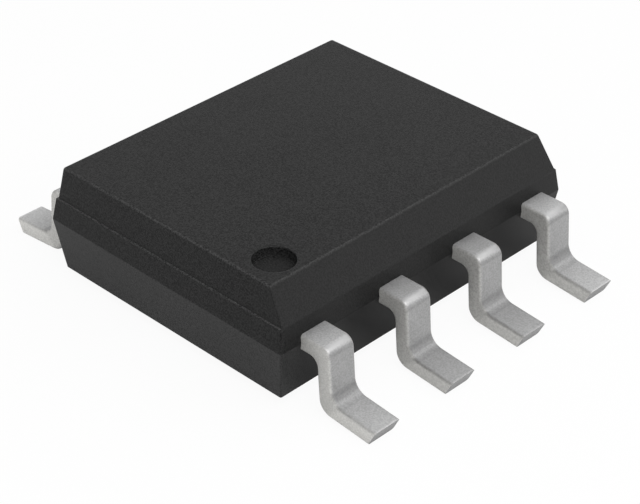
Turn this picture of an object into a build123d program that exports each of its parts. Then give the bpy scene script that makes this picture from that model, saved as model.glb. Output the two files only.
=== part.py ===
import os
from math import cos, radians, sin, tan

from build123d import *

# A dual operational amplifier in a plastic small-outline package with eight gull-wing leads.
# Millimetres, Z up. The origin lies on the board under the middle of the package, and the lead
# tips stand at z = 0. Leads 1 to 4 leave the +X side, counted from -Y to +Y, and leads 5 to 8
# leave the -X side, counted back from +Y to -Y.

os.makedirs("parts", exist_ok=True)

# Moulded body, measured at the parting line where the two mould halves meet
body_width = 3.90
body_length = 4.86
standoff = 0.15
lower_depth = 0.70
band_height = 0.29
crown_height = 0.43
draft = 8.0
ledge_width = 0.022
bevel_width = 0.26
corner_radius = 0.025
rim_radius = 0.025
dimple_radius = 0.27
dimple_depth = 0.11
dimple_draft = 6.0
dimple_inset = 0.33

# Outer leads, cut and bent from the lead frame's strip
leads_per_side = 4
lead_pitch = 1.27
lead_width = 0.41
strip_thickness = 0.21
shoulder_length = 0.32
shank_tilt = 5.0
foot_slope = 5.0
foot_length = 0.70
toe_undercut = 0.08
shoulder_outer_radius = 0.13
shoulder_inner_radius = 0.13
heel_under_radius = 0.18
heel_over_radius = 0.20
lead_edge_break = 0.025

# Fingers, the part of each lead that the mould holds
shoulder_embedment = 0.20
finger_gap = 0.20
finger_width = 0.40
finger_root_length = 0.10
finger_tip_length = 0.22
end_finger_step = 0.40
finger_corner_break = 0.06
lock_hole_radius = 0.09

# Die pad with its two tie bars, pressed down below the fingers
pad_width = 1.90
pad_length = 2.90
pad_corner_radius = 0.12
downset = 0.15
downset_angle = 40.0
tie_bar_width = 0.35
tie_bar_flat = 0.08
tie_bar_cutback = 0.12

# Silicon die on its bed of adhesive
die_width = 1.25
die_length = 1.70
die_thickness = 0.28
attach_thickness = 0.03
attach_margin = 0.05
attach_draft = 35.0
bond_pad_size = 0.11
bond_pad_thickness = 0.005
bond_pad_pitch = 0.42
bond_pad_inset = 0.09

# Bond wires, ball-bonded on the die and stitched to the fingers
wire_diameter = 0.025
wire_flats = 8
ball_diameter = 0.08
ball_height = 0.022
ball_flats = 16
loop_height = 0.16
loop_lean = 0.03
loop_radius = 0.05
stitch_inset = 0.16
stitch_length = 0.07
stitch_width = 0.05
stitch_corner_break = 0.015
stitch_thickness = 0.008

# Levels, from the board up
parting_level = standoff + lower_depth
ledge_level = parting_level + band_height
top_level = ledge_level + crown_height
finger_top = parting_level + strip_thickness / 2
finger_bottom = parting_level - strip_thickness / 2
pad_top = finger_top - downset
pad_middle = pad_top - strip_thickness / 2
die_bottom = pad_top + attach_thickness
die_top = die_bottom + die_thickness
bond_level = die_top + bond_pad_thickness

# Places across the package, from the middle out
finger_tip = pad_width / 2 + finger_gap
finger_neck = finger_tip + finger_tip_length
shoulder_root = body_width / 2 - shoulder_embedment
finger_elbow = shoulder_root - finger_root_length
knee = body_width / 2 + shoulder_length
bond_pad_x = die_width / 2 - bond_pad_inset


def strip_sides(middle, thickness):
    """Give the two sides of a bent strip, as mitred copies of its middle line."""
    points = [Vector(*point) for point in middle]
    runs = [(b - a).normalized() for a, b in zip(points, points[1:])]
    normals = [Vector(-run.Y, run.X) for run in runs]
    mitres = [normals[0]]
    for before, after in zip(normals, normals[1:]):
        mitre = (before + after).normalized()
        mitres.append(mitre / mitre.dot(before))
    mitres.append(normals[-1])
    over = [point + mitre * (thickness / 2) for point, mitre in zip(points, mitres)]
    under = [point - mitre * (thickness / 2) for point, mitre in zip(points, mitres)]
    return over, under


# Gull-wing outline, in a plane whose x runs outwards and whose y is up. The sheared end of the
# foot leans back under the lead, and its lower corner is the point that touches the board.
foot_run = Vector(cos(radians(foot_slope)), -sin(radians(foot_slope)))
foot_across = Vector(sin(radians(foot_slope)), cos(radians(foot_slope)))
toe_middle_level = (foot_across * (strip_thickness / 2) + foot_run * (toe_undercut / 2)).Y
heel_level = toe_middle_level + foot_length * sin(radians(foot_slope))
heel = knee + (parting_level - heel_level) * tan(radians(shank_tilt))
toe = heel + foot_length * cos(radians(foot_slope))
gull_over, gull_under = strip_sides(
    [
        (shoulder_root, parting_level),
        (knee, parting_level),
        (heel, heel_level),
        (toe, toe_middle_level),
    ],
    strip_thickness,
)
gull_over[-1] += foot_run * (toe_undercut / 2)
gull_under[-1] -= foot_run * (toe_undercut / 2)


def lead_places():
    """List each lead's number, its side (+1 or -1 along X) and its place along Y."""
    middle = (leads_per_side - 1) / 2
    up_the_front = [(1, (place - middle) * lead_pitch) for place in range(leads_per_side)]
    back_down = [(-1, -y) for _, y in up_the_front]
    return [(number, side, y) for number, (side, y) in enumerate(up_the_front + back_down, start=1)]


def finger_step(y):
    """Say how far a finger steps towards the die: only the four at the package's ends do."""
    outermost = (leads_per_side - 1) / 2 * lead_pitch
    return end_finger_step if abs(y) > outermost - lead_pitch / 2 else 0.0


# Leads, each one strip of metal from its bonding finger to its solder foot
leads = []
for number, side, y in lead_places():
    inwards = -side if y > 0 else side
    step = finger_step(y) * inwards
    with BuildPart() as lead:
        # The gull wing, with its long edges broken
        with BuildSketch(Plane((0, y, 0), x_dir=(side, 0, 0), z_dir=(0, -side, 0))):
            with BuildLine():
                FilletPolyline(*gull_over, radius=[shoulder_outer_radius, heel_over_radius])
                Line(gull_over[-1], gull_under[-1])
                FilletPolyline(*gull_under[::-1], radius=[heel_under_radius, shoulder_inner_radius])
                Line(gull_under[0], gull_over[0])
            make_face()
        extrude(amount=lead_width / 2, both=True)
        flanks = lead.faces().filter_by(Axis.Y)
        ends = lead.faces().sort_by(Axis.X)
        end_edges = ends[0].edges() + ends[-1].edges()
        chamfer([e for e in flanks.edges() if e not in end_edges], length=lead_edge_break)
        # The finger with its bonding tip. The four at the package's ends step towards the die, and
        # the mould flows through a hole in each of them.
        slant = [(finger_elbow, 0), (finger_neck, step)] if step else []
        finger_left, finger_right = strip_sides(
            [(shoulder_root + lead_edge_break, 0), *slant, (finger_tip, step)], finger_width
        )
        with BuildSketch(Plane((0, y, finger_bottom), x_dir=(side, 0, 0), z_dir=(0, 0, 1))) as finger:
            with BuildLine():
                Polyline(*finger_left, *finger_right[::-1], close=True)
            make_face()
            chamfer(finger.vertices().group_by(Axis.X)[0], length=finger_corner_break)
            if step:
                with Locations(((finger_elbow + finger_neck) / 2, step / 2)):
                    Circle(lock_hole_radius, mode=Mode.SUBTRACT)
        extrude(amount=strip_thickness)
    lead.part.label = f"lead_{number}"
    leads.append(lead.part)

# Die pad, pressed down so that the die's face lies near the level of the fingers
with BuildPart() as die_pad:
    with BuildSketch(Plane.XY.offset(pad_middle)):
        RectangleRounded(pad_width, pad_length, pad_corner_radius)
    extrude(amount=strip_thickness / 2, both=True)
    # Tie bars: each rises from an end of the pad to the finger level and is cut off short of the
    # package's end wall
    rise_start = pad_length / 2 + tie_bar_flat
    bar_over, bar_under = strip_sides(
        [
            (pad_length / 2 - pad_corner_radius, pad_middle),
            (rise_start, pad_middle),
            (rise_start + downset / tan(radians(downset_angle)), parting_level),
            (body_length / 2 - tie_bar_cutback, parting_level),
        ],
        strip_thickness,
    )
    with BuildSketch(Plane.YZ):
        with BuildLine():
            Polyline(*bar_over, *bar_under[::-1], close=True)
        make_face()
        mirror(about=Plane.YZ)
    extrude(amount=tie_bar_width / 2, both=True)
die_pad.part.label = "die_pad"

# Adhesive that holds the die, squeezed out a little all round
with BuildPart() as die_attach:
    with BuildSketch(Plane.XY.offset(pad_top)):
        Rectangle(die_width + 2 * attach_margin, die_length + 2 * attach_margin)
    extrude(amount=attach_thickness, taper=attach_draft)
die_attach.part.label = "die_attach"


def bond_pad_y(y):
    """Give the place along Y of the bond pad whose wire goes to the lead at y."""
    return y / lead_pitch * bond_pad_pitch


# Silicon die, with a metal bond pad for each lead
with BuildPart() as die:
    with BuildSketch(Plane.XY.offset(die_bottom)):
        Rectangle(die_width, die_length)
    extrude(amount=die_thickness)
    with BuildSketch(Plane.XY.offset(die_top)):
        with Locations([(side * bond_pad_x, bond_pad_y(y)) for _, side, y in lead_places()]):
            Rectangle(bond_pad_size, bond_pad_size)
    extrude(amount=bond_pad_thickness)
die.part.label = "die"

# Bond wires. Each stands in its own upright plane from a bond pad to a finger: a squashed ball on the
# pad, a loop that leans over and slopes down, and a flat stitch on the finger. At this size a few
# flats stand for the round sections.
bond_wires = []
for number, side, y in lead_places():
    start = Vector(side * bond_pad_x, bond_pad_y(y))
    landing = Vector(side * (finger_tip + stitch_inset), y - (1 if y > 0 else -1) * finger_step(y))
    along = (landing - start).normalized()
    upright = Plane(start, x_dir=along, z_dir=along.cross(Vector(0, 0, 1)))
    with BuildPart() as bond_wire:
        with BuildSketch(Plane(start + Vector(0, 0, bond_level), x_dir=along, z_dir=(0, 0, 1))):
            RegularPolygon(ball_diameter / 2, ball_flats)
        extrude(amount=ball_height)
        chamfer(bond_wire.faces().sort_by(Axis.Z)[-1].edges(), length=ball_height / 2)
        with BuildLine(upright) as loop:
            FilletPolyline(
                (0, bond_level + ball_height / 2),
                (loop_lean, bond_level + loop_height),
                ((landing - start).length, finger_top + wire_diameter / 2),
                radius=loop_radius,
            )
        with BuildSketch(Plane(loop.line @ 0, x_dir=upright.z_dir, z_dir=loop.line % 0)):
            RegularPolygon(wire_diameter / 2, wire_flats)
        sweep()
        with BuildSketch(Plane(landing + Vector(0, 0, finger_top), x_dir=along, z_dir=(0, 0, 1))) as stitch:
            Rectangle(stitch_length, stitch_width)
            chamfer(stitch.vertices(), length=stitch_corner_break)
        extrude(amount=stitch_thickness)
    bond_wire.part.label = f"bond_wire_{number}"
    bond_wires.append(bond_wire.part)

# Moulded body. Its walls draw in both ways from the parting line, up to the ledge and down to the
# underside.
with BuildPart() as mould_halves:
    with BuildSketch(Plane.XY.offset(parting_level)):
        Rectangle(body_width, body_length)
    extrude(amount=band_height, taper=draft)
    with BuildSketch(Plane.XY.offset(parting_level)):
        Rectangle(body_width, body_length)
    extrude(amount=-lower_depth, taper=draft)
    fillet(mould_halves.edges().filter_by(Plane.XY, reverse=True), radius=corner_radius)
    fillet(mould_halves.faces().sort_by(Axis.Z)[0].edges(), radius=rim_radius)

# Crown, inside the ledge on three sides and sloped down to the outer wall on the pin 1 side
with BuildPart() as crown:
    ledge_half_width = body_width / 2 - band_height * tan(radians(draft))
    ledge_half_length = body_length / 2 - band_height * tan(radians(draft))
    with BuildSketch(Plane.XY.offset(ledge_level)):
        with Locations((ledge_width / 2, 0)):
            Rectangle(2 * ledge_half_width - ledge_width, 2 * (ledge_half_length - ledge_width))
    extrude(amount=crown_height, taper=draft)
    bevel_normal = Vector(crown_height, 0, bevel_width)
    split(bisect_by=Plane((ledge_half_width, 0, ledge_level), z_dir=bevel_normal), keep=Keep.BOTTOM)
    fillet(crown.edges().filter_by(Plane.XY, reverse=True), radius=corner_radius)
    fillet(crown.faces().sort_by(Axis.Z)[-1].edges(), radius=rim_radius)

# The two are one casting, with the round dimple beside lead 1 and, for each piece that it was cast
# round, a hollow that the piece fills
with BuildPart() as package_body:
    add(mould_halves.part)
    add(crown.part)
    with BuildSketch(Plane.XY.offset(top_level)):
        with Locations((ledge_half_width - bevel_width - dimple_inset, lead_places()[0][2])):
            Circle(dimple_radius)
    extrude(amount=-dimple_depth, taper=dimple_draft, mode=Mode.SUBTRACT)
    add(leads + bond_wires + [die_pad.part, die_attach.part, die.part], mode=Mode.SUBTRACT)
package_body.part.label = "package_body"

for piece in [package_body.part, die_pad.part, die_attach.part, die.part] + leads + bond_wires:
    export_step(piece, f"parts/{piece.label}.step")
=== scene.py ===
# Small-outline package with eight gull-wing leads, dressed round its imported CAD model.
# Pieces are drawn in millimetres and brought to metres when their mesh is finished.
# Places and heights in the finishes are in metres, and a noise's scale is cells per metre.
import math

import bmesh
import bpy
from mathutils import Matrix, Vector


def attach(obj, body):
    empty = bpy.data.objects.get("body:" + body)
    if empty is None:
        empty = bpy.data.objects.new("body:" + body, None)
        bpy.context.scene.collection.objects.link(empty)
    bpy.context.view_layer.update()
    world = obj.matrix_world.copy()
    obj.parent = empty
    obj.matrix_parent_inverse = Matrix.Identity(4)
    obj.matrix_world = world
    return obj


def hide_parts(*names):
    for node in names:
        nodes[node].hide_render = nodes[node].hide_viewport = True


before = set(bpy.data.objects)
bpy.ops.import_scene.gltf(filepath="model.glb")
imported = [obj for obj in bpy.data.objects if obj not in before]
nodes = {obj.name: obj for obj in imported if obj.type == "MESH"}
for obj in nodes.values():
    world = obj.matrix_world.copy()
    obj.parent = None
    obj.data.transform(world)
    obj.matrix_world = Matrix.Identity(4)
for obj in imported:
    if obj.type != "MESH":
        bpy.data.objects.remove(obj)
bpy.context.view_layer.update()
millimetre = 0.001
toMetres = Matrix.Scale(millimetre, 4)
tolerance = 1e-6  # millimetres
print("frame loaded:", len(nodes), "nodes")


class Socket:  # a node's output that Python expressions can use
    def __init__(self, tree, socket):
        self.tree, self.socket = tree, socket

    def maths(self, operation, *others):
        values = dict(enumerate([self, *others]))
        return self.tree.add("ShaderNodeMath", values, operation=operation)

    def __add__(self, other):
        return self.maths("ADD", other)

    def __sub__(self, other):
        return self.maths("SUBTRACT", other)

    def __mul__(self, other):
        return self.maths("MULTIPLY", other)

    def __truediv__(self, other):
        return self.maths("DIVIDE", other)

    def __rsub__(self, other):
        return self.tree.add("ShaderNodeMath", {0: other, 1: self}, operation="SUBTRACT")

    __radd__ = __add__

    def smooth(self, low, high):  # 0 below the range, 1 above it
        limits = {"Value": self, "From Min": low, "From Max": high}
        return self.tree.add("ShaderNodeMapRange", limits, interpolation_type="SMOOTHSTEP")

    def within(self, rise, fall):  # up through one range and down again through the other
        return self.smooth(*rise) * (1 - self.smooth(*fall))


class NodeMaker:  # adds nodes to one tree
    def __init__(self, tree):
        self.nodes, self.links = tree.nodes, tree.links

    def add(self, kind, values=None, out=0, **settings):
        node = self.nodes.new(kind)
        for name, value in settings.items():
            setattr(node, name, value)
        for name, value in (values or {}).items():
            self.feed(node.inputs[name], value)
        return Socket(self, node.outputs[out]) if len(node.outputs) else None

    def feed(self, socket, value):
        if isinstance(value, Socket):
            self.links.new(value.socket, socket)
        else:
            socket.default_value = value


class Finish(NodeMaker):  # one material
    def __init__(self, name):
        self.material = bpy.data.materials.new(name)
        self.material.use_nodes = True
        super().__init__(self.material.node_tree)
        self.nodes.clear()
        self.place = self.add("ShaderNodeTexCoord", out="Object")

    def axis(self, name):
        return self.add("ShaderNodeSeparateXYZ", {0: self.place}, out=name)

    def noise(self, scale, detail=2.0, where=None):
        values = {"Vector": where or self.place, "Scale": scale, "Detail": detail}
        return self.add("ShaderNodeTexNoise", values)

    def streaks(self, scale):
        stretched = self.add("ShaderNodeMapping", {"Vector": self.place, "Scale": scale})
        return self.noise(1.0, detail=3.0, where=stretched)

    def mix(self, share, one, other):
        values = {"Factor": share, 6: one, 7: other}
        return self.add("ShaderNodeMix", values, out=2, data_type="RGBA")

    def stored(self, name):  # a share kept on the mesh's points
        return self.add("ShaderNodeAttribute", out="Fac", attribute_name=name)

    def bump(self, height, distance, strength=0.5):
        values = {"Height": height, "Distance": distance, "Strength": strength}
        return self.add("ShaderNodeBump", values)

    def shade(self, **sockets):
        values = {name.replace("_", " "): value for name, value in sockets.items()}
        shader = self.add("ShaderNodeBsdfPrincipled", values)
        self.add("ShaderNodeOutputMaterial", {"Surface": shader})
        return self.material


def grey(level):
    return (level, level, level, 1.0)


mould = {
    "dark": 0.0, "light": 0.018, "grain": 52000, "grainRange": (0.35, 0.65),
    "cloud": 900, "cloudShare": 0.2,
    "rim": 0.11, "highlightRagged": 0.5,  # painted highlight along the body's rounded edges and ledge, and how much of it the grain spares
    "parting": 0.00085, "border": 1e-5,
    "paintedLowerLight": 0.031, "lowerGrain": 0.55, "lowerPlain": 0.2,  # painted light below the parting line, standing in for light from below
    "lowerSides": 0.1, "end": -0.0023, "fade": 0.0006,  # the painted lower light is strongest on the short -Y end
    "bevelFrom": 0.00165, "bevelTurn": 1e-4, "bevelCalm": 0.55,  # the bevel has less grain
    "roughness": 0.36, "grainRoughness": 0.08, "hollowRoughness": 0.2, "gloss": 0.115,
    "lumps": 55000, "lumpHeight": 2.2e-6,
}


def mouldedEpoxy():
    m = Finish("mouldedEpoxy")
    x, y, z = [m.axis(name) for name in "XYZ"]
    border = mould["border"]
    speckle = m.noise(mould["grain"], detail=3.0).smooth(*mould["grainRange"])
    cloud = m.noise(mould["cloud"])
    lumps = m.noise(mould["lumps"], detail=1.0)
    onBevel = x.smooth(mould["bevelFrom"] - border, mould["bevelFrom"] + border)
    onBevel = onBevel * y.smooth(mould["end"] - mould["bevelTurn"], mould["end"])
    mottle = speckle * (1 - mould["cloudShare"]) + cloud * mould["cloudShare"] - 0.5
    mottle = mottle * (1 - onBevel * mould["bevelCalm"]) + 0.5
    base = m.mix(mottle, grey(mould["dark"]), grey(mould["light"]))
    # painted light on the mould below the parting line, strongest on the -Y end and weaker along
    # the sides
    below = 1 - z.smooth(mould["parting"] - border, mould["parting"] + border)
    atEnd = 1 - y.smooth(mould["end"], mould["end"] + mould["fade"])
    spotted = speckle * mould["lowerGrain"] + mould["lowerPlain"]
    share = below * spotted * (atEnd * (1 - mould["lowerSides"]) + mould["lowerSides"])
    lowerLightColour = m.mix(share, base, grey(mould["paintedLowerLight"]))
    # painted highlight along the rounded edges and the ledge, thinned by the grain
    rim = m.stored("rim") * (speckle + mould["highlightRagged"])
    roughness = mould["roughness"] + speckle * mould["grainRoughness"]
    return m.shade(
        Base_Color=m.mix(rim, lowerLightColour, grey(mould["rim"])),
        Roughness=roughness + m.stored("hollow") * mould["hollowRoughness"],
        Normal=m.bump(lumps, mould["lumpHeight"]),
        Specular_IOR_Level=mould["gloss"],
    )


tin = {
    "dark": 0.215, "light": 0.305, "grain": 45000, "mottle": 14000, "mottleShare": 0.2,
    "range": (0.3, 0.7), "grainHeight": 0.8e-6,
    "metal": 0.45, "flankMatt": 0.35,
    "roughness": 0.42, "mottleRoughness": 0.1, "dullRoughness": 0.3, "burnished": 0.30,
    "marks": {  # how much lighter or darker than the rest each mark is; the outer leads' light, the darkened root, bends and heel, the heel's dark fold and light line, and the edges' dark line and glow are painted light and shade
        "flank": 1.2, "footFlank": 1.22, "paintedLightTop": 1.27, "paintedLightFlank": 1.2, "paintedShade": 0.63,
        "heelFoldShade": 0.84, "heelHighlight": 1.36, "toeLine": 1.4, "edgeShadeLine": 0.5,
        "edgeHighlight": 1.14, "burnish": 1.02, "heelDull": 1.0,
    },
    "warm": (1.01, 1.0, 0.965),
}


def tinPlate():
    m = Finish("tinPlate")
    mottle = m.noise(tin["mottle"], detail=4.0)
    grain = m.noise(tin["grain"], detail=3.0)
    patches, specks = mottle.smooth(*tin["range"]), grain.smooth(*tin["range"])
    marks = {name: m.stored(name) for name in tin["marks"]}
    shine, dull = marks["burnish"], marks["heelDull"]
    blend = patches * tin["mottleShare"] + specks * (1 - tin["mottleShare"]) - 0.5
    blend = blend * (1 - shine) + 0.5
    tone = m.mix(blend, grey(tin["dark"]), grey(tin["light"]))
    for name, share in marks.items():
        factor = share * (tin["marks"][name] - 1) + 1
        tone = m.add("ShaderNodeVectorMath", {0: tone, "Scale": factor}, operation="SCALE")
    warm = m.add("ShaderNodeVectorMath", {0: tone, 1: tin["warm"]}, operation="MULTIPLY")
    matt = (1 - dull) * (1 - marks["flank"] * tin["flankMatt"])
    roughness = tin["roughness"] + patches * tin["mottleRoughness"]
    roughness = roughness + dull * tin["dullRoughness"]
    return m.shade(
        Base_Color=m.mix(marks["flank"], tone, warm),
        Metallic=matt * (tin["metal"] + shine * (1 - tin["metal"])),
        Roughness=roughness - shine * (tin["roughness"] - tin["burnished"]),
        Normal=m.bump((grain + mottle) * (1 - shine), tin["grainHeight"]),
    )


shear = {
    "streaks": (6000, 60000, 6000), "dark": grey(0.18), "light": grey(0.30),
    "roughness": 0.5, "spread": 0.15, "height": 1.0e-6,
}


def shearedEnd():
    m = Finish("shearedEnd")
    drag = m.streaks(shear["streaks"])
    return m.shade(
        Base_Color=m.mix(drag, shear["dark"], shear["light"]),
        Metallic=1.0,
        Roughness=shear["roughness"] + drag * shear["spread"],
        Normal=m.bump(drag, shear["height"]),
    )


copper = {
    "streaks": (40000, 2500, 40000), "dark": (0.55, 0.27, 0.16, 1), "light": (0.72, 0.40, 0.26, 1),
    "roughness": 0.32, "spread": 0.15, "height": 0.6e-6,
}


def rolledCopper():
    m = Finish("rolledCopper")
    lines = m.streaks(copper["streaks"])
    return m.shade(
        Base_Color=m.mix(lines, copper["dark"], copper["light"]),
        Metallic=1.0,
        Roughness=copper["roughness"] + lines * copper["spread"],
        Normal=m.bump(lines, copper["height"]),
    )


adhesive = {
    "flakes": 45000, "range": (0.45, 0.6), "resin": (0.44, 0.42, 0.39, 1), "silver": grey(0.62),
    "metal": 0.7, "roughness": 0.62, "spread": 0.2, "height": 0.8e-6,
}


def silverAdhesive():
    m = Finish("silverAdhesive")
    flakes = m.noise(adhesive["flakes"])
    shine = flakes.smooth(*adhesive["range"])
    return m.shade(
        Base_Color=m.mix(shine, adhesive["resin"], adhesive["silver"]),
        Metallic=shine * adhesive["metal"],
        Roughness=adhesive["roughness"] - shine * adhesive["spread"],
        Normal=m.bump(flakes, adhesive["height"]),
    )


silicon = {
    "cells": 14000.0, "range": (0.28, 0.34), "metal": 0.6,
    "dark": (0.20, 0.21, 0.26, 1), "light": (0.33, 0.30, 0.36, 1),
    "roughness": 0.16, "spread": 0.12, "height": 0.3e-6,
}


def polishedSilicon():
    m = Finish("polishedSilicon")
    values = {"Vector": m.place, "Scale": silicon["cells"]}
    cells = m.add("ShaderNodeTexVoronoi", values, distance="CHEBYCHEV")
    blocks = cells.smooth(*silicon["range"])
    return m.shade(
        Base_Color=m.mix(blocks, silicon["dark"], silicon["light"]),
        Metallic=silicon["metal"],
        Roughness=silicon["roughness"] + blocks * silicon["spread"],
        Normal=m.bump(blocks, silicon["height"]),
    )


goldWire = {
    "grain": 90000, "dark": (0.80, 0.52, 0.14, 1), "light": (0.92, 0.68, 0.28, 1),
    "roughness": 0.18, "spread": 0.1, "height": 0.2e-6,
}


def drawnGold():
    m = Finish("drawnGold")
    draw = m.noise(goldWire["grain"])
    return m.shade(
        Base_Color=m.mix(draw, goldWire["dark"], goldWire["light"]),
        Metallic=1.0,
        Roughness=goldWire["roughness"] + draw * goldWire["spread"],
        Normal=m.bump(draw, goldWire["height"]),
    )


epoxy, tinned, sheared, gold = mouldedEpoxy(), tinPlate(), shearedEnd(), drawnGold()
innerFinishes = {
    "die_pad": rolledCopper(), "die_attach": silverAdhesive(), "die": polishedSilicon(),
}
for name, node in nodes.items():
    finish = innerFinishes.get(name, gold if name.startswith("bond_wire") else tinned)
    node.data.materials.clear()
    node.data.materials.append(epoxy if name == "package_body" else finish)
print("finishes made")


def evaluatedMesh(obj):
    depsgraph = bpy.context.evaluated_depsgraph_get()
    return bpy.data.meshes.new_from_object(obj.evaluated_get(depsgraph), depsgraph=depsgraph)


def newObject(name, mesh):
    obj = bpy.data.objects.new(name, mesh)
    bpy.context.scene.collection.objects.link(obj)
    return obj


def finishPiece(obj, bm, sharpAngle):
    bm.to_mesh(obj.data)
    bm.free()
    obj.data.transform(toMetres)
    obj.data.shade_smooth()
    obj.data.set_sharp_from_angle(angle=math.radians(sharpAngle))
    flats = obj.modifiers.new("flatFaces", "WEIGHTED_NORMAL")
    flats.keep_sharp = True
    flats.weight = 100
    mesh = evaluatedMesh(obj)
    obj.modifiers.clear()
    obj.data = mesh


body = {
    "width": 3.90, "length": 4.86, "levels": (0.15, 0.85, 1.14, 1.57), "draft": 8.0,
    "ledge": 0.022, "bevelWidth": 0.26, "cornerRadius": 0.02, "cornerSteps": 5,
    "capInset": (0.06, 0.035, 0.10, 0),  # rounding's reach on -X side, +X side and ends
    "edges": (  # from the base up: rounding, and how much painted highlight lies on its start, middle and end
        (0.006, (0, 0, 0)), (0.012, (0, 0, 0)),
        (0.008, (0, 0.2, 0.28)), (0.012, (0.28, 0.28, 0)), (0.030, (0, 0.42, 0)),
    ),
    "frontHighlight": 0.6,  # the painted edge highlight is weaker along the bevel
    "roundSteps": 4, "sharpAngle": 40,
}


def bodyRings():  # for each level: reach to -X, reach to +X, half length, height
    base, parting, ledge, top = body["levels"]
    draw = math.tan(math.radians(body["draft"]))
    lowIn, bandIn = (parting - base) * draw, (ledge - parting) * draw
    ledgeIn = bandIn + body["ledge"]
    crownIn = ledgeIn + (top - ledge) * draw
    wide, long = body["width"] / 2, body["length"] / 2
    return [
        (wide - lowIn, wide - lowIn, long - lowIn, base),
        (wide, wide, long, parting),
        (wide - bandIn, wide - bandIn, long - bandIn, ledge),
        (wide - ledgeIn, wide - bandIn, long - ledgeIn, ledge),
        (wide - crownIn, wide - bandIn - body["bevelWidth"], long - crownIn, top),
    ]


def curveAt(share, start, middle, end):
    return start * (1 - share) ** 2 + middle * (2 * share * (1 - share)) + end * share**2


def roundedRings():  # the rings again with their edges rounded, each with its share of painted edge highlight
    rings = [Vector(ring) for ring in bodyRings()]
    inset = Vector(body["capInset"])
    path = [rings[0] - inset, *rings, rings[-1] - inset]
    for before, corner, after, (radius, rim) in zip(path, path[1:], path[2:], body["edges"]):
        runs = [point - corner for point in (before, after)]
        start, end = [corner + run * (radius / max(map(abs, run))) for run in runs]
        for i in range(body["roundSteps"] + 1):
            share = i / body["roundSteps"]
            yield curveAt(share, start, corner, end), curveAt(share, *rim)


def ringOutline(ring):  # points round one ring, and which of them belong to the +X side
    left, right, half, z = ring
    radius, steps = body["cornerRadius"], body["cornerSteps"]
    for turn, (x, y) in enumerate([(right, -half), (right, half), (-left, half), (-left, -half)]):
        for i in range(steps + 1):
            a = math.radians(90 * (turn - 1 + i / steps))
            point = (
                x - math.copysign(radius, x) + radius * math.cos(a),
                y - math.copysign(radius, y) + radius * math.sin(a),
                z,
            )
            yield point, (turn, i) > (0, 0) and (turn, i) < (1, steps)


def bodyBlock():
    bm = bmesh.new()
    highlightShare = bm.verts.layers.float.new("rim")
    bm.verts.layers.float.new("hollow")
    onTop = sum(body["levels"][-2:]) / 2  # the +X side has a painted edge highlight only above this
    rings = []
    for ring, rim in roundedRings():
        rings.append([])
        for point, onFront in ringOutline(ring):
            v = bm.verts.new(point)
            v[highlightShare] = rim * (body["frontHighlight"] * (point[2] > onTop) if onFront else 1)
            rings[-1].append(v)
    for low, high in zip(rings, rings[1:]):
        for i, j in zip(range(len(low)), [*range(1, len(low)), 0]):
            bm.faces.new((low[i], low[j], high[j], high[i]))
    bm.faces.new(rings[0][::-1])
    bm.faces.new(rings[-1])
    bmesh.ops.remove_doubles(bm, verts=bm.verts, dist=tolerance)  # the +X side has no ledge
    bm.normal_update()
    return bm


dimple = {
    "radius": 0.27, "depth": 0.11, "draft": 6.0, "inset": 0.33, "y": -1.905,
    "rimRadius": 0.016, "floorRadius": 0.005, "margin": 0.01, "sides": 96, "steps": 4,
}


def dimpleProfile():  # radius and depth from the top face down to the floor
    radius, depth, slope = dimple["radius"], dimple["depth"], math.radians(dimple["draft"])
    rim, foot, steps = dimple["rimRadius"], dimple["floorRadius"], dimple["steps"]
    floorRadius = radius - rim - depth * math.tan(slope)
    angles = [(math.pi / 2 - slope) * i / steps for i in range(steps + 1)]
    upper = [(radius - rim * math.sin(a), rim * (1 - math.cos(a))) for a in angles]
    lower = [
        (floorRadius - foot * (1 - math.sin(a)), depth - foot * (1 - math.cos(a)))
        for a in reversed(angles)
    ]
    return [(radius + dimple["margin"], 0), *upper, *lower]


def cutDimple(bm):
    hollow = bm.verts.layers.float["hollow"]
    roof = max(bm.faces, key=lambda face: face.calc_center_median().z)
    top = body["levels"][-1]
    bmesh.ops.inset_individual(bm, faces=[roof], thickness=dimple["margin"])
    outline = roof.edges[:]
    bmesh.ops.delete(bm, geom=[roof], context="FACES_ONLY")
    x = bodyRings()[-1][1] - dimple["inset"]
    turns = [2 * math.pi * i / dimple["sides"] for i in range(dimple["sides"])]
    rings = [
        [
            bm.verts.new((x + r * math.cos(a), dimple["y"] + r * math.sin(a), top - depth))
            for a in turns
        ]
        for r, depth in dimpleProfile()
    ]
    for high, low in zip(rings, rings[1:]):
        for i, j in zip(range(len(high)), [*range(1, len(high)), 0]):
            bm.faces.new((high[i], high[j], low[j], low[i]))
            low[i][hollow] = float(top - low[i].co.z > dimple["rimRadius"])
    bm.faces.new(rings[-1])
    outline += [bm.edges.get((a, b)) for a, b in zip(rings[0], rings[0][1:] + rings[0][:1])]
    bmesh.ops.triangle_fill(bm, edges=outline, use_beauty=True, normal=(0, 0, 1))
    bmesh.ops.recalc_face_normals(bm, faces=bm.faces)


def makeBody():
    bm = bodyBlock()
    cutDimple(bm)
    obj = newObject("mouldedBody", bpy.data.meshes.new("mouldedBody"))
    obj.data.materials.append(epoxy)
    finishPiece(obj, bm, body["sharpAngle"])
    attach(obj, "root")
    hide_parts("package_body")
    return obj


bodyPiece = makeBody()
print("body made:", len(bodyPiece.data.polygons), "faces")

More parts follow.
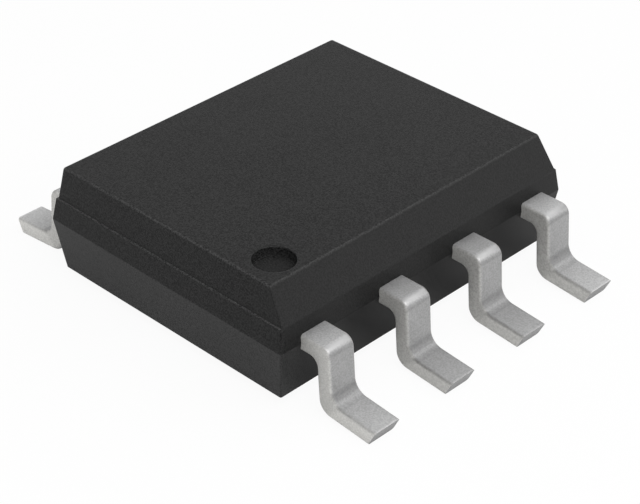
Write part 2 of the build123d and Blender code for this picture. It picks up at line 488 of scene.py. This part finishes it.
lead = {
    "perSide": 4, "pitch": 1.27, "width": 0.41, "thickness": 0.21, "root": 1.78, "knee": 2.27,
    "level": 0.85, "shankTilt": 5.0, "footSlope": 5.0, "footLength": 0.70, "undercut": 0.08,
    "shoulderOver": 0.13, "shoulderUnder": 0.13, "heelOver": 0.20, "heelUnder": 0.18,
    "edgeRadius": 0.038, "edgeSteps": 4, "bendSteps": 14, "toeBand": 0.03, "sharpAngle": 35,
    "farRowLight": 2.0,  # how much painted light lies on the far row's plating, beside 1 for the outer leads
    "fingerOverlap": 0.002, "weld": 1e-5,
    "marks": {  # where each mark comes and goes, as shares of the way through its bend
        "root": (-0.07, 0.0), "lie": (0.0, 0.35), "foot": (0.55, 0.8), "footFlank": (0.6, 1.0),
        "shoulderEdgeShade": ((0.0, 0.3), (0.4, 0.7)), "burnish": ((0.05, 0.3), (0.38, 0.68)),
        "shoulderShade": ((0.5, 0.8), (0.85, 1.06)), "heelShade": ((-0.1, 0.25), (0.92, 1.09)),
        "heelFoldShade": ((0.05, 0.22), (0.28, 0.45)), "heelHighlight": ((0.48, 0.6), (0.64, 0.76)),
        "heelDull": ((-0.1, 0.3), (0.8, 1.05)),
        "shadeStrength": 0.8, "lineLeast": 0.5, "edgeStrength": 1.5,
    },
}


def gullWing():  # corners of the strip's two sides, in the lead's own plane
    slope, tilt = math.radians(lead["footSlope"]), math.radians(lead["shankTilt"])
    run = Vector((math.cos(slope), 0, -math.sin(slope)))
    across = Vector((math.sin(slope), 0, math.cos(slope)))
    half, undercut = lead["thickness"] / 2, lead["undercut"] / 2
    toeLevel = (across * half + run * undercut).z
    heelLevel = toeLevel + lead["footLength"] * math.sin(slope)
    heel = lead["knee"] + (lead["level"] - heelLevel) * math.tan(tilt)
    middle = [
        Vector((lead["root"], 0, lead["level"])),
        Vector((lead["knee"], 0, lead["level"])),
        Vector((heel, 0, heelLevel)),
        Vector((heel + lead["footLength"] * math.cos(slope), 0, toeLevel)),
    ]
    runs = [(b - a).normalized() for a, b in zip(middle, middle[1:])]
    normals = [Vector((-d.z, 0, d.x)) for d in runs]
    mitres = [normals[0]]
    for before, after in zip(normals, normals[1:]):
        mitre = (before + after).normalized()
        mitres.append(mitre / mitre.dot(before))
    mitres.append(normals[-1])
    over = [p + m * half for p, m in zip(middle, mitres)]
    under = [p - m * half for p, m in zip(middle, mitres)]
    over[-1] += run * undercut
    under[-1] -= run * undercut
    for side in (over, under):
        side.insert(-1, side[-1] - run * lead["toeBand"])
    return over, under


class GeometryTree(NodeMaker):  # a Geometry Nodes tree with named inputs
    def __init__(self, name):
        self.tree = bpy.data.node_groups.new(name, "GeometryNodeTree")
        super().__init__(self.tree)
        self.socket("Geometry", "OUTPUT", "Geometry")
        self.entry = self.nodes.new("NodeGroupInput")
        self.exit = self.nodes.new("NodeGroupOutput")
        self.identifiers = {}

    def socket(self, name, way, kind):
        kind = "NodeSocket" + kind
        return self.tree.interface.new_socket(name, in_out=way, socket_type=kind)

    def input(self, name, kind):
        self.identifiers[name] = self.socket(name, "INPUT", kind).identifier
        return Socket(self, self.entry.outputs[name])

    def choose(self, kind, items):  # one item by index
        node = self.nodes.new("GeometryNodeIndexSwitch")
        node.data_type = kind
        while len(node.index_switch_items) < len(items):
            node.index_switch_items.new()
        self.feed(node.inputs["Index"], self.add("GeometryNodeInputIndex"))
        for place, item in enumerate(items):
            self.feed(node.inputs[str(place)], item)
        return Socket(self, node.outputs[0])

    def end(self, geometry):
        self.feed(self.exit.inputs[0], geometry)

    def apply(self, obj, values):
        modifier = obj.modifiers.new("nodes", "NODES")
        modifier.node_group = self.tree
        for name, value in values.items():
            modifier[self.identifiers[name]] = value
        mesh = evaluatedMesh(obj)
        obj.modifiers.clear()
        obj.data = mesh


def stripLine(t, side, bendSteps):  # the line along one side of the strip, bent twice
    corners = [t.input(f"{side} {i}", "Vector") for i in range(1, 6)]
    bends = [t.input(f"{side} {bend} Radius", "Float") for bend in ("Shoulder", "Heel")]
    points = t.add("GeometryNodeMeshLine", {"Count": len(corners)})
    placed = {"Geometry": points, "Position": t.choose("VECTOR", corners)}
    curve = t.add("GeometryNodeMeshToCurve", {"Mesh": t.add("GeometryNodeSetPosition", placed)})
    radius = t.choose("FLOAT", [0.0, *bends, 0.0, 0.0])
    bent = {"Curve": curve, "Count": bendSteps, "Radius": radius}
    return t.add("GeometryNodeFilletCurve", bent, mode="POLY")


def stripMarks(ring, flank, over, bendSteps, paintedLightTop, paintedLightFlank):
    shoulder = (ring - 1.0) / bendSteps  # 0 to 1 through the shoulder's bend
    heel = (ring - bendSteps - 2.0) / bendSteps  # 0 to 1 through the heel's bend
    toe = bendSteps * 2 + 3.0  # the ring where the toe's light line begins
    marks, edge = lead["marks"], flank * over
    lying = 1 - shoulder.smooth(*marks["lie"]) * (1 - heel.smooth(*marks["foot"]))
    # painted shade: darker where the lead leaves the body, after the shoulder's bend and through
    # the heel
    atRoot = 1 - shoulder.smooth(*marks["root"])
    bendShade = shoulder.within(*marks["shoulderShade"]) * marks["shadeStrength"]
    # painted shade: a dark line along the flank's upper edge, on the shoulder and the foot
    rise, fall = marks["shoulderEdgeShade"]
    shoulderEdgeShade = shoulder.smooth(*rise) * (1 - marks["lineLeast"]) + marks["lineLeast"]
    shoulderEdgeShade = shoulderEdgeShade * (1 - shoulder.smooth(*fall))
    footEdgeShade = heel.smooth(*marks["foot"]) * marks["edgeStrength"]
    return {
        "flank": flank,
        "footFlank": flank * heel.smooth(*marks["footFlank"]),
        # painted light on the leads that stand open to the light
        "paintedLightTop": paintedLightTop * over * lying,
        "paintedLightFlank": paintedLightFlank * flank,
        "paintedShade": over * (atRoot + bendShade + heel.within(*marks["heelShade"])),
        # painted shade in the heel's fold
        "heelFoldShade": over * heel.within(*marks["heelFoldShade"]),
        # painted highlight across the heel
        "heelHighlight": over * heel.within(*marks["heelHighlight"]),
        "toeLine": over * ring.smooth(toe, toe + 1.0),
        "edgeShadeLine": edge * (footEdgeShade + shoulderEdgeShade),
        # painted highlight along the edges of the bends and the shank
        "edgeHighlight": edge * (1 - lying) * marks["edgeStrength"],
        "burnish": over * (1 - flank) * shoulder.within(*marks["burnish"]),
        "heelDull": over * heel.within(*marks["heelDull"]),
    }


def stripTree():
    t = GeometryTree("bentStrip")
    bendSteps = t.input("Bend Steps", "Int")
    lines = {side: stripLine(t, side, bendSteps) for side in ("Over", "Under")}
    width, thickness = t.input("Width", "Float"), t.input("Thickness", "Float")
    edgeRadius, edgeSteps = t.input("Edge Radius", "Float"), t.input("Edge Steps", "Int")
    flat = {"Width": width, "Height": thickness}
    section = t.add("GeometryNodeCurvePrimitiveQuadrilateral", flat)
    rounded = {"Curve": section, "Count": edgeSteps, "Radius": edgeRadius}
    section = t.add("GeometryNodeFilletCurve", rounded, mode="POLY")
    tube = {"Curve": lines["Over"], "Profile Curve": section, "Fill Caps": True}
    strip = t.add("GeometryNodeCurveToMesh", tube)
    # each ring of the tube goes between the points of the two sides that share its number
    count = t.add("GeometryNodeAttributeDomainSize", {"Geometry": section}, component="CURVE")
    index = t.add("GeometryNodeInputIndex")
    ring = ((index + 0.5) / count).maths("FLOOR")
    corner = index - ring * count
    position = t.add("GeometryNodeInputPosition")

    def pointOf(geometry, number):
        values = {"Geometry": geometry, "Value": position, "Index": number}
        return t.add("GeometryNodeSampleIndex", values, data_type="FLOAT_VECTOR")

    apart = t.add("ShaderNodeSeparateXYZ", {0: pointOf(section, corner)}, out="Y")
    along = t.add("ShaderNodeSeparateXYZ", {0: pointOf(section, corner)}, out="X")
    share = apart / thickness + 0.5
    between = {"Factor": share, 4: pointOf(lines["Under"], ring), 5: pointOf(lines["Over"], ring)}
    spine = t.add("ShaderNodeMix", between, out=1, data_type="VECTOR")
    sideways = t.add("ShaderNodeCombineXYZ", {"Y": along})
    target = t.add("ShaderNodeVectorMath", {0: spine, 1: sideways}, operation="ADD")
    strip = t.add("GeometryNodeSetPosition", {"Geometry": strip, "Position": target})
    halfWidth, halfThickness = width * 0.5, thickness * 0.5
    flank = along.maths("ABSOLUTE").smooth(halfWidth - edgeRadius, halfWidth)
    over = apart.smooth(halfThickness - edgeRadius, halfThickness)
    # painted light on the plating of the leads open to the light
    openSideLight = [t.input(name, "Float") for name in ("Painted Light Top", "Painted Light Flank")]
    for name, strength in stripMarks(ring, flank, over, bendSteps, *openSideLight).items():
        stored = {"Geometry": strip, "Name": name, "Value": strength}
        strip = t.add("GeometryNodeStoreNamedAttribute", stored)
    turned = {
        "Geometry": strip,
        "Translation": t.input("Place", "Vector"), "Rotation": t.input("Turn", "Rotation"),
    }
    strip = t.add("GeometryNodeTransform", turned)
    strip = t.add("GeometryNodeRealizeInstances", {"Geometry": strip})
    plate = {"Geometry": strip, "Material": t.input("Plate", "Material")}
    strip = t.add("GeometryNodeSetMaterial", plate)
    faces = t.add("GeometryNodeAttributeDomainSize", {"Geometry": strip}, out="Face Count")
    last = index.maths("GREATER_THAN", faces - 1.5)  # the cap at the toe
    end = {"Geometry": strip, "Selection": last, "Material": t.input("Sheared End", "Material")}
    t.end(t.add("GeometryNodeSetMaterial", end))
    return t


bentStrip = stripTree()


def fingerOf(bm, node, side):  # the part that the mould holds, cut from a copy of the CAD lead
    finger = bmesh.new()
    finger.from_mesh(node.data)
    bmesh.ops.transform(finger, matrix=toMetres.inverted(), verts=finger.verts)
    bmesh.ops.remove_doubles(finger, verts=finger.verts, dist=lead["weld"])
    cut = bmesh.ops.bisect_plane(
        finger,
        geom=finger.verts[:] + finger.edges[:] + finger.faces[:],
        dist=tolerance,
        plane_co=(side * (lead["root"] + lead["fingerOverlap"]), 0, 0),
        plane_no=(side, 0, 0),
        clear_outer=True,
    )
    rim = [e for e in cut["geom_cut"] if isinstance(e, bmesh.types.BMEdge)]
    bmesh.ops.contextual_create(finger, geom=rim)
    mesh = bpy.data.meshes.new("finger")
    finger.to_mesh(mesh)
    finger.free()
    bm.from_mesh(mesh)


def stripValues(side, y):  # what the tree needs for one lead
    over, under = gullWing()
    values = {f"Over {i}": p for i, p in enumerate(over, start=1)}
    values |= {f"Under {i}": p for i, p in enumerate(under, start=1)}
    return values | {
        "Over Shoulder Radius": lead["shoulderOver"], "Over Heel Radius": lead["heelOver"],
        "Under Shoulder Radius": lead["shoulderUnder"], "Under Heel Radius": lead["heelUnder"],
        "Width": lead["width"], "Thickness": lead["thickness"],
        "Edge Radius": lead["edgeRadius"], "Edge Steps": lead["edgeSteps"],
        "Bend Steps": lead["bendSteps"], "Place": (0, y, 0),
        # painted light for the far row and for the outer leads
        "Painted Light Top": lead["farRowLight"] if side < 0 else float(abs(y) > lead["pitch"]),
        "Painted Light Flank": lead["farRowLight"] if side < 0 else float(y < -lead["pitch"]),
        "Turn": (0, 0, 0 if side > 0 else math.pi), "Plate": tinned, "Sheared End": sheared,
    }


def makeLeads():
    rows = [(1, (i - (lead["perSide"] - 1) / 2) * lead["pitch"]) for i in range(lead["perSide"])]
    places = rows + [(-1, -y) for _, y in rows]
    leads = []
    for number, (side, y) in enumerate(places, start=1):
        obj = newObject(f"gullWingLead{number}", bpy.data.meshes.new(f"gullWingLead{number}"))
        bentStrip.apply(obj, stripValues(side, y))
        bm = bmesh.new()
        bm.from_mesh(obj.data)
        bmesh.ops.recalc_face_normals(bm, faces=bm.faces)
        fingerOf(bm, nodes[f"lead_{number}"], side)
        finishPiece(obj, bm, lead["sharpAngle"])
        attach(obj, "root")
        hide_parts(f"lead_{number}")
        leads.append(obj)
    return leads


leadPieces = makeLeads()
print("leads made:", [len(o.data.polygons) for o in leadPieces])

view = {  # degrees, millimetres from the part's origin, and pixels of the picture
    "azimuth": 45.10, "elevation": 34.09, "across": -0.403, "up": -0.027, "distance": 25.05,
    "focalPixels": 2014.2, "centre": (275.5, 263.6), "picture": (640, 504),
    "sensor": 36, "clip": (0.001, 10),  # the clip is in metres
}


def towards(azimuth, elevation):  # from the part to a lamp or the camera
    a, e = math.radians(azimuth), math.radians(elevation)
    return Vector((math.sin(a) * math.cos(e), -math.cos(a) * math.cos(e), math.sin(e)))


def makeCamera():
    back = towards(view["azimuth"], view["elevation"])
    a = math.radians(view["azimuth"])
    right = Vector((math.cos(a), math.sin(a), 0))
    up = back.cross(right)
    camera = bpy.data.cameras.new("camera")
    wide, high = view["picture"]
    camera.sensor_fit, camera.sensor_width = "HORIZONTAL", view["sensor"]
    camera.lens = view["sensor"] * view["focalPixels"] / wide
    camera.shift_x = (wide / 2 - view["centre"][0]) / wide
    camera.shift_y = (view["centre"][1] - high / 2) / wide
    camera.clip_start, camera.clip_end = view["clip"]
    place = right * view["across"] + up * view["up"] + back * view["distance"]
    turn = Matrix((right, up, back)).transposed().to_4x4()
    obj = newObject("camera", camera)
    obj.matrix_world = Matrix.Translation(place * millimetre) @ turn
    bpy.context.scene.camera = obj


studio = {
    "world": 0.55, "white": 0.985, "floorColour": 0.82, "floorWhite": 0.95, "floorGloss": 0.06,
    "floorSize": 2.0,
    "lamps": [  # azimuth and elevation seen from the part, distance and size in mm, strength
        ("frontRight", 45, 50, 60, 44, 0.55),
        ("right", 90, 50, 60, 44, 0.38),
        ("backRight", 135, 50, 60, 44, 0.13),
        ("back", 180, 50, 60, 44, 0.15),
        ("backRightLow", 135, 20, 60, 44, 0.17),
    ],
}


def rays(maker, *kinds):  # 1 for rays of these kinds, 0 for light that falls on things
    path = maker.nodes.new("ShaderNodeLightPath")
    shares = [Socket(maker, path.outputs[f"Is {kind} Ray"]) for kind in kinds]
    return sum(shares[1:], shares[0])


def makeWorld():
    world = bpy.data.worlds.new("studio")
    world.use_nodes = True
    world.node_tree.nodes.clear()
    w = NodeMaker(world.node_tree)
    seen = rays(w, "Camera", "Glossy", "Transmission")
    strength = seen * (studio["white"] - studio["world"]) + studio["world"]
    sky = w.add("ShaderNodeBackground", {"Color": grey(1.0), "Strength": strength})
    w.add("ShaderNodeOutputWorld", {"Surface": sky})
    bpy.context.scene.world = world


def makeFloor():
    finish = bpy.data.materials.new("paleFloor")
    finish.use_nodes = True
    finish.node_tree.nodes.clear()
    f = NodeMaker(finish.node_tree)
    lit = f.add("ShaderNodeBsdfDiffuse", {"Color": grey(studio["floorColour"])})
    glow = f.add("ShaderNodeEmission", {"Strength": studio["white"]})
    gloss = rays(f, "Glossy", "Transmission") * studio["floorGloss"]
    share = rays(f, "Camera") * studio["floorWhite"] + gloss
    mixed = f.add("ShaderNodeMixShader", {0: share, 1: lit, 2: glow})
    f.add("ShaderNodeOutputMaterial", {"Surface": mixed})
    bm = bmesh.new()
    bmesh.ops.create_grid(bm, x_segments=1, y_segments=1, size=studio["floorSize"] / 2)
    floor = newObject("floor", bpy.data.meshes.new("floor"))
    bm.to_mesh(floor.data)
    bm.free()
    floor.data.materials.append(finish)


def makeLamps():
    for name, azimuth, elevation, distance, size, strength in studio["lamps"]:
        away = towards(azimuth, elevation)
        lamp = bpy.data.lights.new(name, "AREA")
        lamp.shape, lamp.size = "DISK", size * millimetre
        # the strength is how light a white face turned to the lamp comes out
        lamp.energy = strength * math.pi**2 * (distance * millimetre) ** 2
        obj = newObject(name, lamp)
        obj.location = away * distance * millimetre
        obj.rotation_euler = away.to_track_quat("Z", "Y").to_euler()


makeCamera()
makeWorld()
makeFloor()
makeLamps()
bpy.context.scene.view_settings.view_transform = "Standard"
print("camera, lamps and floor set")
